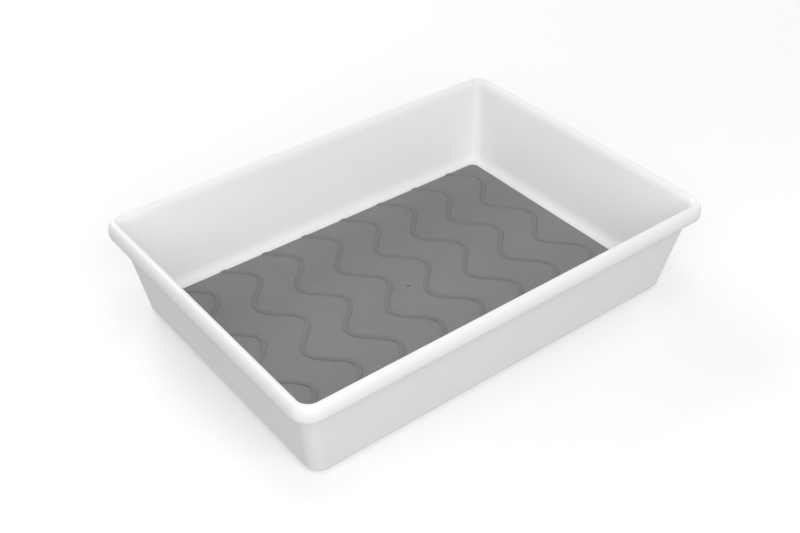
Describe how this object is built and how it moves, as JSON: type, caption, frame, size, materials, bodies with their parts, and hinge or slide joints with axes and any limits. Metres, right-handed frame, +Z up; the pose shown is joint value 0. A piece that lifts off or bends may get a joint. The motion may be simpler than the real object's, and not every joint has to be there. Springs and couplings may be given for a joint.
{
  "type": "utility tray",
  "caption": "Shallow rectangular open tray with drafted walls, a rolled lip all round and a soft grip liner with wave ribs on its floor.",
  "frame": {"origin": "on the resting plane under the feet, below the middle of the tray", "axes": "+X along the long side, +Y across the tray towards its back wall, +Z up out of the open top"},
  "size_m": [0.35, 0.247, 0.0744],
  "materials": {
    "white_plastic": "satin moulded polypropylene",
    "grip_rubber": "matt fine-grained thermoplastic rubber",
    "foot_rubber": "matt thermoplastic rubber"
  },
  "bodies": {
    "root": {"tray_shell": "white_plastic", "grip_liner": "grip_rubber", "foot_front_left": "foot_rubber", "foot_front_right": "foot_rubber", "foot_back_left": "foot_rubber", "foot_back_right": "foot_rubber"}
  },
  "joints": []
}
